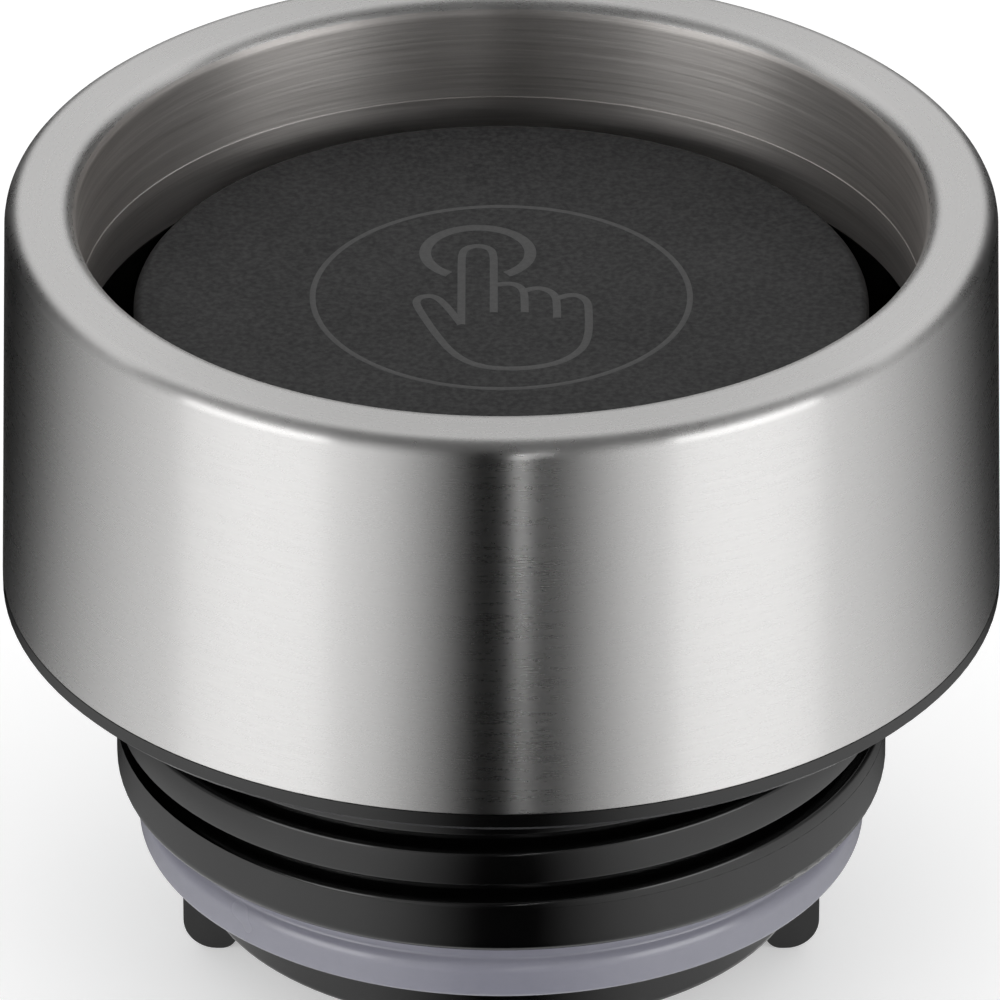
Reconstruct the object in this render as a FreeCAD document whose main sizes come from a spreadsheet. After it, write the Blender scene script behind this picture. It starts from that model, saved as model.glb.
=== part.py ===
import FreeCAD, Part
import math
import os
import re

import Sketcher

# Press-to-open closure of an insulated flask: a steel collar round a recessed button,
# over a threaded neck that holds a twist-out valve cage.
# Millimetres, +Z up, on the closure's axis. The valve plate and the grip lugs stand on Z = 0.

SIZES = {
    # heights, stacked from the lug tips to the rim
    "lug_drop": "5.4",
    "ring_height": "4.6",
    "neck_lip": "0.5",
    "seal_height": "4.6",
    "neck_drop": "15.3",
    "base_band": "1.4",
    "collar_height": "30.0",
    # steel collar
    "collar_radius": "36.0",
    "collar_flare": "0.6",
    "sheet_wall": "0.7",
    "rim_round": "1.3",
    "lip_round": "1.3",
    "rim_width": "5.1",
    "lip_taper": "0.3",
    "lip_depth": "12.2",
    # fits
    "fit_gap": "0.15",
    "run_gap": "0.1",
    "seal_gap": "0.05",
    # well liner
    "skirt_space": "3.0",
    "liner_floor": "5.6",
    "liner_slope": "4.0",
    "liner_round": "4.0",
    "bore_step": "0.5",
    "liner_top_gap": "0.05",
    # neck
    "flange_thick": "3.0",
    "band_chamfer": "0.4",
    "spigot_height": "3.6",
    "thread_depth": "1.5",
    "shoulder_radius": "28.4",
    "shoulder_height": "3.9",
    "shoulder_round": "1.0",
    "neck_wall": "2.8",
    "seal_thick": "2.6",
    "lip_catch": "0.7",
    # neck seal
    "seal_inset": "1.6",
    "waist_depth": "0.5",
    "seal_bulge": "2.6",
    "seal_edge": "0.45",
    # rings of round section
    "liner_ring_inset": "5.6",
    "liner_ring_wire": "0.85",
    "cage_ring_wire": "0.9",
    "stem_ring_wire": "0.9",
    # valve cage
    "ring_step": "1.0",
    "ring_edge": "0.5",
    "ring_wall": "3.0",
    "seat_depth": "2.2",
    "seat_thick": "1.6",
    "seat_width": "2.8",
    "sleeve_wall": "2.7",
    "sleeve_height": "14.6",
    "sleeve_land": "1.2",
    "spoke_width": "2.2",
    "spoke_height": "6.0",
    "spoke_count": "4",
    "lug_reach": "1.2",
    "lug_width": "4.0",
    "lug_thick": "5.0",
    "lug_round": "2.5",
    "lug_inner_round": "1.2",
    "lug_root": "3.8",
    # bayonet of the cage in the neck
    "tab_depth": "1.2",
    "tab_height": "2.4",
    "tab_level": "7.0",
    "tab_angle": "16",
    "tab_count": "3",
    "twist_angle": "30",
    "slot_spare_angle": "1",
    # barrel of the cage
    "barrel_inside": "8.0",
    "barrel_wall": "1.6",
    "barrel_lift": "1.5",
    "barrel_floor": "4.0",
    "spring_flange_margin": "0.65",
    "spring_flange_thick": "1.5",
    "spring_flange_level": "17.5",
    "spring_flange_gusset": "2.0",
    # stem, its seal and screw
    "stem_radius": "2.5",
    "gland_depth": "2.6",
    "retainer_thick": "0.6",
    "screw_radius": "1.25",
    "screw_length": "8.0",
    "screw_head_radius": "2.6",
    "screw_head_height": "1.8",
    # valve plate and gasket
    "gasket_thick": "1.8",
    "gasket_gap": "1.2",
    "gasket_reach": "3.3",
    "gasket_edge": "0.6",
    "gasket_overhang": "0.6",
    "plate_rim": "2.5",
    "plate_bevel": "4.1",
    "plate_bolt_radius": "1.6",
    "nut_radius": "2.9",
    "nut_height": "2.0",
    "nut_sink": "0.6",
    # button
    "button_sink": "7.9",
    "drink_gap": "4.15",
    "button_round": "0.7",
    "button_wall": "1.65",
    "button_top": "1.8",
    "button_skirt": "7.3",
    "bead_depth": "0.4",
    "bead_height": "0.7",
    # carrier under the button
    "carrier_flange": "1.6",
    "carrier_web": "2.5",
    "carrier_bore": "3.2",
    "locator_wall": "1.0",
    "locator_height": "1.8",
    "press_travel": "4.0",
    "stop_gap": "1.5",
    "floor_gap": "0.5",
    # return spring
    "spring_gap": "0.85",
    "spring_wire": "1.1",
    "spring_turns": "6",
    "washer_thick": "0.5",
    # press-press latch, measured from the carrier's lower end and from the axis
    "flat_offset": "4.2",
    "flat_start": "7.0",
    "flat_spare": "4.9",
    "pivot_height": "24.0",
    "pivot_radius": "0.75",
    "pivot_depth": "0.8",
    "arm_length": "9.0",
    "arm_width": "1.6",
    "arm_thick": "0.65",
    "arm_gap": "0.15",
    "pin_radius": "0.4",
    "track_depth": "0.8",
    "track_half_width": "2.4",
    "track_above": "1.2",
    "track_spare": "0.7",
    "track_border": "0.9",
    "heart_half_width": "0.9",
    "heart_point": "1.4",
    "latch_overtravel": "0.9",
    "heart_notch": "0.5",
    "peg_radius": "1.4",
}

doc = FreeCAD.newDocument("flask_closure")
sheet = doc.addObject("Spreadsheet::Sheet", "Sizes")
for row, (alias, number) in enumerate(SIZES.items(), start=1):
    sheet.set(f"A{row}", alias)
    sheet.set(f"B{row}", number)
    sheet.setAlias(f"B{row}", alias)
doc.recompute()


def bound(formula):
    """The formula with every size's name pointing at its cell."""
    return re.sub(r"[a-z_]+", r"Sizes.\g<0>", str(formula))


def value(formula):
    return float(sheet.evalExpression(bound(formula)))


def plus(*terms):
    return "(" + " + ".join(str(term) for term in terms) + ")"


def minus(first, *terms):
    return "(" + " - ".join(str(term) for term in (first,) + terms) + ")"


# Levels and radii that several pieces share.
RING_BOTTOM = "lug_drop"
NECK_BOTTOM = plus(RING_BOTTOM, "ring_height")
SEAL_BOTTOM = plus(NECK_BOTTOM, "neck_lip")
SEAL_TOP = plus(SEAL_BOTTOM, "seal_height")
FLANGE_BOTTOM = plus(SEAL_TOP, "neck_drop")
FLANGE_TOP = plus(FLANGE_BOTTOM, "flange_thick")
SKIRT_BOTTOM = plus(FLANGE_BOTTOM, "base_band")
RIM_TOP = plus(SKIRT_BOTTOM, "collar_height")
LIP_BOTTOM = minus(RIM_TOP, "lip_depth")
WELL_FLOOR = plus(FLANGE_TOP, "liner_floor")
BAND_RADIUS = plus("collar_radius", "collar_flare")
WELL_RADIUS = minus("collar_radius", "rim_width")
LIP_END = minus(WELL_RADIUS, "lip_taper")
LINER_RADIUS = minus("collar_radius", "skirt_space")

NECK_RADIUS = minus("shoulder_radius", "thread_depth")
SEAL_RADIUS = minus("shoulder_radius", "seal_inset")
SEAL_WAIST = minus(SEAL_RADIUS, "waist_depth")
SEAL_GROOVE = minus(SEAL_RADIUS, "seal_thick")
LIP_RADIUS = plus(SEAL_GROOVE, "lip_catch")
NECK_BORE = minus(SEAL_GROOVE, "neck_wall")
LINER_BORE = plus(NECK_BORE, "bore_step")
LINER_RING_RADIUS = plus(LINER_BORE, "liner_ring_inset")

SEAT_LEVEL = plus(RING_BOTTOM, "seat_depth")
GASKET_TOP = minus(SEAT_LEVEL, "seal_gap")
PLATE_TOP = minus(GASKET_TOP, "gasket_thick")
BARREL_BOTTOM = plus(NECK_BOTTOM, "barrel_lift")
BARREL_FLOOR = plus(BARREL_BOTTOM, "barrel_floor")
BARREL_OUTSIDE = plus("barrel_inside", "barrel_wall")
SPRING_FLANGE_TOP = plus(NECK_BOTTOM, "spring_flange_level", "spring_flange_thick")
WASHER_TOP = plus(SPRING_FLANGE_TOP, "washer_thick")
SLEEVE_RADIUS = minus(NECK_BORE, "run_gap")
SLEEVE_INSIDE = minus(SLEEVE_RADIUS, "sleeve_wall")
SEAT_RADIUS = minus(SLEEVE_INSIDE, "seat_width")
RING_RADIUS = plus(NECK_BORE, "ring_step")
RING_INSIDE = minus(RING_RADIUS, "ring_wall")
LUG_RADIUS = plus(RING_RADIUS, "lug_reach")
GASKET_RADIUS = minus(RING_INSIDE, "gasket_gap")
GASKET_INSIDE = minus(SEAT_RADIUS, "gasket_reach")
PLATE_RADIUS = minus(GASKET_RADIUS, "gasket_overhang")
PLATE_FOOT_RADIUS = minus(PLATE_RADIUS, "plate_bevel")
SLEEVE_TOP = plus(NECK_BOTTOM, "sleeve_height")
RING_GROOVE_TOP = minus(SLEEVE_TOP, "sleeve_land")
RING_GROOVE_WIDTH = plus("2 * cage_ring_wire", "2 * seal_gap")
RING_GROOVE_ROOT = minus(NECK_BORE, "2 * cage_ring_wire", "2 * seal_gap")
TAB_BOTTOM = plus(NECK_BOTTOM, "tab_level")
STEM_BORE = plus("stem_radius", "run_gap")
GLAND_RADIUS = plus(STEM_BORE, "2 * stem_ring_wire", "seal_gap")

BUTTON_TOP = minus(RIM_TOP, "button_sink")
CARRIER_TOP = minus(BUTTON_TOP, "button_top")
CARRIER_UNDER = minus(CARRIER_TOP, "carrier_flange")
CARRIER_BOTTOM = plus(BARREL_FLOOR, "press_travel", "floor_gap")
BARREL_TOP = minus(CARRIER_UNDER, "press_travel", "stop_gap")
BUTTON_RADIUS = minus(WELL_RADIUS, "drink_gap")
BUTTON_INSIDE = minus(BUTTON_RADIUS, "button_wall")
CARRIER_RADIUS = minus(BUTTON_INSIDE, "run_gap")
PLUNGER_RADIUS = minus("barrel_inside", "run_gap")
WEB_TOP = plus(CARRIER_BOTTOM, "carrier_web")
SPRING_RADIUS = plus(BARREL_OUTSIDE, "spring_gap", "spring_wire / 2")
SPRING_OUTSIDE = plus(SPRING_RADIUS, "spring_wire / 2")
SPRING_FLANGE_RADIUS = plus(SPRING_OUTSIDE, "spring_flange_margin")

PIVOT_LEVEL = plus(CARRIER_BOTTOM, "pivot_height")
PIN_LEVEL = minus(PIVOT_LEVEL, "arm_length")
ARM_BACK = plus("flat_offset", "arm_gap")
ARM_FRONT = plus(ARM_BACK, "arm_thick")
TRACK_FACE = plus(ARM_FRONT, "arm_gap")
TRACK_TOP = plus(PIN_LEVEL, "track_above")
TRACK_BOTTOM = minus(PIN_LEVEL, "press_travel", "track_spare")
CAM_BOTTOM = minus(TRACK_BOTTOM, "track_border")
CAM_TOP = plus(TRACK_TOP, "track_border")
CAM_HALF_WIDTH = plus("track_half_width", "track_border")
CAM_OUTSIDE = minus("barrel_inside", "seal_gap")


# Sketch helpers

def new_body(label):
    body = doc.addObject("PartDesign::Body", label)
    body.Label = label
    return body


def new_sketch(body, role, level=None, turn=None):
    """A sketch on the body's own plane, moved along its normal and turned about its upright axis."""
    plane = next(item for item in body.Origin.OriginFeatures if item.Role == role)
    sketch = body.newObject("Sketcher::SketchObject", body.Label + "_sketch")
    sketch.AttachmentSupport = [(plane, "")]
    sketch.MapMode = "FlatFace"
    if turn is not None:
        upright = FreeCAD.Vector(0, 1, 0)
        sketch.AttachmentOffset = FreeCAD.Placement(FreeCAD.Vector(), FreeCAD.Rotation(upright, value(turn)))
        sketch.setExpression("AttachmentOffset.Rotation.Angle", bound(turn))
    if level is not None:
        sketch.setExpression("AttachmentOffset.Base.z", bound(level))
    return sketch


def fix(sketch, geometry, position, across, up):
    """Hold one point of the sketch at its formulas."""
    for kind, axis, formula in (("DistanceX", -2, across), ("DistanceY", -1, up)):
        if str(formula) == "0":
            sketch.addConstraint(Sketcher.Constraint("PointOnObject", geometry, position, axis))
        else:
            held = sketch.addConstraint(Sketcher.Constraint(kind, geometry, position, value(formula)))
            sketch.setExpression(f"Constraints[{held}]", bound(formula))


def outline(sketch, corners):
    """Closed outline; a corner is (across, up) or (across, up, round), all of them formulas."""
    points = [FreeCAD.Vector(value(corner[0]), value(corner[1]), 0) for corner in corners]
    count = len(corners)
    arcs = {}
    ends = {}
    for index, corner in enumerate(corners):
        point = points[index]
        ends[index] = (point, point)
        if len(corner) == 3:
            radius = value(corner[2])
            back = (points[index - 1] - point).normalize()
            ahead = (points[(index + 1) % count] - point).normalize()
            half = back.getAngle(ahead) / 2
            reach = radius / math.tan(half)
            centre = point + (back + ahead).normalize() * (radius / math.sin(half))
            ends[index] = (point + back * reach, point + ahead * reach)
            arcs[index] = (centre, radius, back.cross(ahead).z < 0)
    first = sketch.GeometryCount
    for index in range(count):
        sketch.addGeometry(Part.LineSegment(ends[index][1], ends[(index + 1) % count][0]), False)
    for index, corner in enumerate(corners):
        before = first + (index - 1) % count
        after = first + index
        if index not in arcs:
            sketch.addConstraint(Sketcher.Constraint("Coincident", before, 2, after, 1))
            fix(sketch, after, 1, corner[0], corner[1])
            continue
        centre, radius, leftward = arcs[index]
        start, stop = ends[index] if leftward else ends[index][::-1]
        begin = math.atan2(start.y - centre.y, start.x - centre.x)
        finish = math.atan2(stop.y - centre.y, stop.x - centre.x)
        if finish < begin:
            finish += 2 * math.pi
        circle = Part.Circle(centre, FreeCAD.Vector(0, 0, 1), radius)
        arc = sketch.addGeometry(Part.ArcOfCircle(circle, begin, finish), False)
        tip = sketch.addGeometry(Part.Point(points[index]), True)
        entry, leave = (1, 2) if leftward else (2, 1)
        sketch.addConstraint(Sketcher.Constraint("Tangent", before, 2, arc, entry))
        sketch.addConstraint(Sketcher.Constraint("Tangent", arc, leave, after, 1))
        held = sketch.addConstraint(Sketcher.Constraint("Radius", arc, radius))
        sketch.setExpression(f"Constraints[{held}]", bound(corner[2]))
        fix(sketch, tip, 1, corner[0], corner[1])
        sketch.addConstraint(Sketcher.Constraint("PointOnObject", tip, 1, before))
        sketch.addConstraint(Sketcher.Constraint("PointOnObject", tip, 1, after))


def circle(sketch, across, up, radius):
    centre = FreeCAD.Vector(value(across), value(up), 0)
    ring = sketch.addGeometry(Part.Circle(centre, FreeCAD.Vector(0, 0, 1), value(radius)), False)
    held = sketch.addConstraint(Sketcher.Constraint("Radius", ring, value(radius)))
    sketch.setExpression(f"Constraints[{held}]", bound(radius))
    fix(sketch, ring, 3, across, up)


def box_corners(low, bottom, high, top):
    return [(low, bottom), (high, bottom), (high, top), (low, top)]


# Feature helpers

def turned(body, kind, corners, angle="360", start=None):
    """A profile in the half plane through the axis, turned about it."""
    sketch = new_sketch(body, "XZ_Plane", turn=start)
    outline(sketch, corners)
    feature = body.newObject("PartDesign::" + kind, body.Label + "_turned")
    feature.Profile = sketch
    feature.ReferenceAxis = (sketch, ["V_Axis"])
    feature.setExpression("Angle", bound(angle))
    return feature


def extruded(body, kind, sketch, length, backwards=False):
    feature = body.newObject("PartDesign::" + kind, body.Label + "_extruded")
    feature.Profile = sketch
    feature.setExpression("Length", bound(length))
    feature.Reversed = backwards
    return feature


def round_the_axis(body, features, count):
    pattern = body.newObject("PartDesign::PolarPattern", body.Label + "_pattern")
    pattern.Originals = features
    upright = next(item for item in body.Origin.OriginFeatures if item.Role == "Z_Axis")
    pattern.Axis = (upright, [""])
    pattern.Angle = 360
    pattern.setExpression("Occurrences", bound(count))
    body.Tip = pattern
    return pattern


def turned_piece(label, corners):
    body = new_body(label)
    turned(body, "Revolution", corners)
    return body


def round_ring(label, radius, wire, level):
    """A ring of round section, lying flat at its level."""
    ring = doc.addObject("Part::Torus", label)
    ring.Label = label
    ring.setExpression("Radius1", bound(radius))
    ring.setExpression("Radius2", bound(wire))
    ring.setExpression("Placement.Base.z", bound(level))
    return ring


# Pieces of the outer shell

def steel_collar():
    """One sheet: flared skirt, flat rim with rolled edges, lip down into the well."""
    inner_round = minus("rim_round", "sheet_wall")
    lip_inner_round = minus("lip_round", "sheet_wall")
    return turned_piece("steel_collar", [
        (BAND_RADIUS, SKIRT_BOTTOM),
        ("collar_radius", RIM_TOP, "rim_round"),
        (WELL_RADIUS, RIM_TOP, "lip_round"),
        (LIP_END, LIP_BOTTOM),
        (plus(LIP_END, "sheet_wall"), LIP_BOTTOM),
        (plus(WELL_RADIUS, "sheet_wall"), minus(RIM_TOP, "sheet_wall"), lip_inner_round),
        (minus("collar_radius", "sheet_wall"), minus(RIM_TOP, "sheet_wall"), inner_round),
        (minus(BAND_RADIUS, "sheet_wall"), SKIRT_BOTTOM),
    ])


def well_liner():
    """Drinking well below the steel lip: upright wall, rounded corner, floor sloping to the neck."""
    behind_lip = plus("sheet_wall", "fit_gap")
    liner_top = minus(RIM_TOP, "sheet_wall", "liner_top_gap")
    return turned_piece("well_liner", [
        (LINER_BORE, FLANGE_TOP),
        (LINER_RADIUS, FLANGE_TOP),
        (LINER_RADIUS, liner_top),
        (plus(WELL_RADIUS, "lip_round"), liner_top),
        (plus(WELL_RADIUS, behind_lip), minus(RIM_TOP, "2 * lip_round")),
        (plus(LIP_END, behind_lip), LIP_BOTTOM),
        (LIP_END, LIP_BOTTOM),
        (LIP_END, WELL_FLOOR, "liner_round"),
        (LINER_BORE, minus(WELL_FLOOR, "liner_slope")),
    ])


def neck_body():
    """Base band, flange and neck in one moulding, with the bayonet slots in its bore."""
    body = new_body("neck_body")
    groove_half = plus("liner_ring_wire", "seal_gap")
    groove_floor = minus(FLANGE_TOP, "2 * liner_ring_wire")
    spigot = minus(BAND_RADIUS, "sheet_wall", "fit_gap")
    turned(body, "Revolution", [
        (NECK_BORE, NECK_BOTTOM),
        (LIP_RADIUS, NECK_BOTTOM),
        (LIP_RADIUS, SEAL_BOTTOM),
        (SEAL_GROOVE, SEAL_BOTTOM),
        (SEAL_GROOVE, SEAL_TOP),
        ("shoulder_radius", SEAL_TOP, "shoulder_round"),
        ("shoulder_radius", plus(SEAL_TOP, "shoulder_height")),
        (NECK_RADIUS, plus(SEAL_TOP, "shoulder_height")),
        (NECK_RADIUS, FLANGE_BOTTOM),
        (minus(BAND_RADIUS, "band_chamfer"), FLANGE_BOTTOM),
        (BAND_RADIUS, plus(FLANGE_BOTTOM, "band_chamfer")),
        (BAND_RADIUS, SKIRT_BOTTOM),
        (spigot, SKIRT_BOTTOM),
        (spigot, plus(SKIRT_BOTTOM, "spigot_height")),
        (plus(LINER_RADIUS, "fit_gap"), plus(SKIRT_BOTTOM, "spigot_height")),
        (plus(LINER_RADIUS, "fit_gap"), FLANGE_TOP),
        (plus(LINER_RING_RADIUS, groove_half), FLANGE_TOP),
        (plus(LINER_RING_RADIUS, groove_half), groove_floor),
        (minus(LINER_RING_RADIUS, groove_half), groove_floor),
        (minus(LINER_RING_RADIUS, groove_half), FLANGE_TOP),
        (NECK_BORE, FLANGE_TOP),
    ])
    slot_inside = minus(NECK_BORE, "tab_depth")
    slot_outside = plus(NECK_BORE, "tab_depth")
    run_low = minus(TAB_BOTTOM, "fit_gap")
    run_high = plus(TAB_BOTTOM, "tab_height", "fit_gap")
    run = turned(
        body, "Groove", box_corners(slot_inside, run_low, plus(slot_outside, "fit_gap"), run_high),
        plus("tab_angle", "twist_angle", "2 * slot_spare_angle"),
        minus("0", "tab_angle / 2", "slot_spare_angle"))
    entry = turned(
        body, "Groove",
        box_corners(slot_inside, minus(NECK_BOTTOM, "fit_gap"), plus(slot_outside, "run_gap"), TAB_BOTTOM),
        plus("tab_angle", "slot_spare_angle"),
        minus("twist_angle", "tab_angle / 2", "slot_spare_angle / 2"))
    round_the_axis(body, [run, entry], "tab_count")
    return body


def neck_seal():
    """Silicone ring: a narrow upper lip, a waist, and a rounded bulge that seals in the flask's mouth."""
    inside = plus(SEAL_GROOVE, "seal_gap")
    waist_bottom = plus(SEAL_BOTTOM, "seal_bulge", "seal_edge")
    return turned_piece("neck_seal", [
        (inside, SEAL_BOTTOM),
        (SEAL_RADIUS, SEAL_BOTTOM, "seal_edge"),
        (SEAL_RADIUS, plus(SEAL_BOTTOM, "seal_bulge")),
        (SEAL_WAIST, waist_bottom),
        (SEAL_WAIST, minus(SEAL_TOP, "seal_edge")),
        (SEAL_RADIUS, minus(SEAL_TOP, "seal_edge / 2")),
        (SEAL_RADIUS, SEAL_TOP),
        (inside, SEAL_TOP),
    ])


# Valve cage and what it holds

def valve_cage():
    """Twist-out insert: barrel on spokes, sleeve with bayonet tabs, valve seat, ring with two grip lugs."""
    body = new_body("valve_cage")
    gland_top = plus(BARREL_BOTTOM, "gland_depth")
    flange_under = plus(NECK_BOTTOM, "spring_flange_level")
    turned(body, "Revolution", [
        (STEM_BORE, gland_top),
        (GLAND_RADIUS, gland_top),
        (GLAND_RADIUS, BARREL_BOTTOM),
        (BARREL_OUTSIDE, BARREL_BOTTOM),
        (BARREL_OUTSIDE, minus(flange_under, "spring_flange_gusset")),
        (SPRING_FLANGE_RADIUS, flange_under),
        (SPRING_FLANGE_RADIUS, SPRING_FLANGE_TOP),
        (BARREL_OUTSIDE, SPRING_FLANGE_TOP),
        (BARREL_OUTSIDE, BARREL_TOP),
        ("barrel_inside", BARREL_TOP),
        ("barrel_inside", BARREL_FLOOR),
        (STEM_BORE, BARREL_FLOOR),
    ])
    spoke = new_sketch(body, "XY_Plane", BARREL_BOTTOM)
    spoke_inside = plus("barrel_inside", "barrel_wall / 2")
    spoke_outside = plus(SLEEVE_INSIDE, "run_gap")
    outline(spoke, box_corners(spoke_inside, minus("0", "spoke_width / 2"), spoke_outside, "spoke_width / 2"))
    round_the_axis(body, [extruded(body, "Pad", spoke, "spoke_height")], "spoke_count")
    turned(body, "Revolution", [
        (RING_INSIDE, RING_BOTTOM),
        (RING_RADIUS, RING_BOTTOM, "ring_edge"),
        (RING_RADIUS, NECK_BOTTOM),
        (SLEEVE_RADIUS, NECK_BOTTOM),
        (SLEEVE_RADIUS, minus(RING_GROOVE_TOP, RING_GROOVE_WIDTH)),
        (RING_GROOVE_ROOT, minus(RING_GROOVE_TOP, RING_GROOVE_WIDTH)),
        (RING_GROOVE_ROOT, RING_GROOVE_TOP),
        (SLEEVE_RADIUS, RING_GROOVE_TOP),
        (SLEEVE_RADIUS, SLEEVE_TOP),
        (SLEEVE_INSIDE, SLEEVE_TOP),
        (SLEEVE_INSIDE, BARREL_BOTTOM),
        (SEAT_RADIUS, plus(SEAT_LEVEL, "seat_thick")),
        (SEAT_RADIUS, SEAT_LEVEL),
        (RING_INSIDE, SEAT_LEVEL),
    ])
    lug = new_sketch(body, "XZ_Plane", minus("0", "lug_thick / 2"))
    lug_inside = minus(LUG_RADIUS, "lug_width")
    lug_top = plus(RING_BOTTOM, "lug_root")
    outline(lug, [
        (lug_inside, "0", "lug_inner_round"),
        (LUG_RADIUS, "0", "lug_round"),
        (LUG_RADIUS, lug_top),
        (lug_inside, lug_top),
    ])
    round_the_axis(body, [extruded(body, "Pad", lug, "lug_thick")], "2")
    tab_inside = minus(NECK_BORE, "tab_depth")
    tab_outside = plus(NECK_BORE, "tab_depth")
    tab = turned(
        body, "Revolution", box_corners(tab_inside, TAB_BOTTOM, tab_outside, plus(TAB_BOTTOM, "tab_height")),
        "tab_angle", minus("0", "tab_angle / 2"))
    round_the_axis(body, [tab], "tab_count")
    peg_hole = new_sketch(body, "XZ_Plane", "barrel_inside - barrel_wall")
    circle(peg_hole, "0", PIN_LEVEL, plus("peg_radius", "seal_gap"))
    extruded(body, "Pocket", peg_hole, "4 * barrel_wall", backwards=True)
    return body


def spring_washer():
    return turned_piece("spring_washer", box_corners(
        plus(BARREL_OUTSIDE, "fit_gap"), SPRING_FLANGE_TOP,
        minus(SPRING_FLANGE_RADIUS, "fit_gap"), WASHER_TOP))


def seal_retainer():
    return turned_piece("seal_retainer", box_corners(
        plus(STEM_BORE, "run_gap"), BARREL_BOTTOM,
        minus(GLAND_RADIUS, "seal_gap"), plus(BARREL_BOTTOM, "retainer_thick")))


def latch_cam():
    """Plate in the barrel: a track with a heart-shaped island whose notch holds the pin."""
    body = new_body("latch_cam")
    block = new_sketch(body, "XY_Plane", CAM_BOTTOM)
    left = minus("0", CAM_HALF_WIDTH)
    outline(block, box_corners(left, minus("0", CAM_OUTSIDE), CAM_HALF_WIDTH, minus("0", TRACK_FACE)))
    height = minus(CAM_TOP, CAM_BOTTOM)
    extruded(body, "Pad", block, height)
    trim = new_sketch(body, "XY_Plane", CAM_BOTTOM)
    circle(trim, "0", "0", CAM_OUTSIDE)
    circle(trim, "0", "0", plus("2 * barrel_inside"))
    extruded(body, "Pocket", trim, height, backwards=True)
    track = new_sketch(body, "XZ_Plane", TRACK_FACE)
    outline(track, box_corners(minus("0", "track_half_width"), TRACK_BOTTOM, "track_half_width", TRACK_TOP))
    lobes = plus(minus(PIN_LEVEL, "press_travel"), "latch_overtravel")
    outline(track, [
        ("0", minus(PIN_LEVEL, "heart_point")),
        (minus("0", "heart_half_width"), lobes),
        ("0", plus(lobes, "heart_notch")),
        ("heart_half_width", lobes),
    ])
    extruded(body, "Pocket", track, "track_depth", backwards=True)
    peg = new_sketch(body, "XZ_Plane", plus(TRACK_FACE, "track_depth", "pin_radius"))
    circle(peg, "0", PIN_LEVEL, "peg_radius")
    extruded(body, "Pad", peg, minus(BARREL_OUTSIDE, TRACK_FACE, "track_depth", "pin_radius"))
    return body


def return_spring():
    """Open helix between the washer and the carrier, one unbroken round wire."""
    wire = value("spring_wire")
    radius = value(SPRING_RADIUS)
    quarters = round(value("spring_turns") * 4)
    bottom = value(WASHER_TOP) + wire / 2
    top = value(CARRIER_UNDER) - wire / 2
    rise = (top - bottom) / quarters
    slope = rise / (math.pi / 2)

    def place(quarter):
        angle = quarter * math.pi / 2
        return FreeCAD.Vector(radius * math.cos(angle), radius * math.sin(angle), bottom + rise * quarter)

    def heading(quarter):
        angle = quarter * math.pi / 2
        return FreeCAD.Vector(-radius * math.sin(angle), radius * math.cos(angle), slope).normalize()

    def arc(start, corner, stop):
        middle = (start + stop) / 2
        lean = (stop - start).Length / 2 / (corner - start).Length
        return Part.Arc(start, middle + (corner - middle) * (lean / (1 + lean)), stop).toShape()

    edges = []
    for quarter in range(quarters):
        start, stop = place(quarter), place(quarter + 1)
        leaving, arriving = heading(quarter), heading(quarter + 1)
        span = stop - start
        both = leaving + arriving
        spread = 2 * (1 - leaving.dot(arriving))
        along = span.dot(both)
        reach = (math.sqrt(along * along + spread * span.dot(span)) - along) / spread
        first, second = start + leaving * reach, stop - arriving * reach
        joint = (first + second) / 2
        edges += [arc(start, first, joint), arc(joint, second, stop)]
    section = Part.Wire([Part.Circle(place(0), heading(0), wire / 2).toShape()])
    coil = Part.Wire(edges).makePipeShell([section], True, False)
    print(f"return_spring: gap between turns {4 * rise - wire:.2f} mm")
    piece = doc.addObject("Part::Feature", "return_spring")
    piece.Label = "return_spring"
    piece.Shape = coil
    piece.Placement = FreeCAD.Placement()
    return piece


# Pieces that travel with the button

def button_cap():
    """Cap with a skirt, and a bead inside that snaps under the carrier."""
    skirt_bottom = minus(BUTTON_TOP, "button_skirt")
    bead = minus(BUTTON_INSIDE, "bead_depth")
    bead_top = minus(CARRIER_UNDER, "run_gap")
    bead_bottom = minus(bead_top, "bead_height")
    return turned_piece("button_cap", [
        ("0", CARRIER_TOP),
        (BUTTON_INSIDE, CARRIER_TOP),
        (BUTTON_INSIDE, bead_top),
        (bead, bead_top),
        (bead, bead_bottom),
        (BUTTON_INSIDE, minus(bead_bottom, "bead_depth")),
        (BUTTON_INSIDE, skirt_bottom),
        (BUTTON_RADIUS, skirt_bottom),
        (BUTTON_RADIUS, BUTTON_TOP, "button_round"),
        ("0", BUTTON_TOP),
    ])


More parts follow.
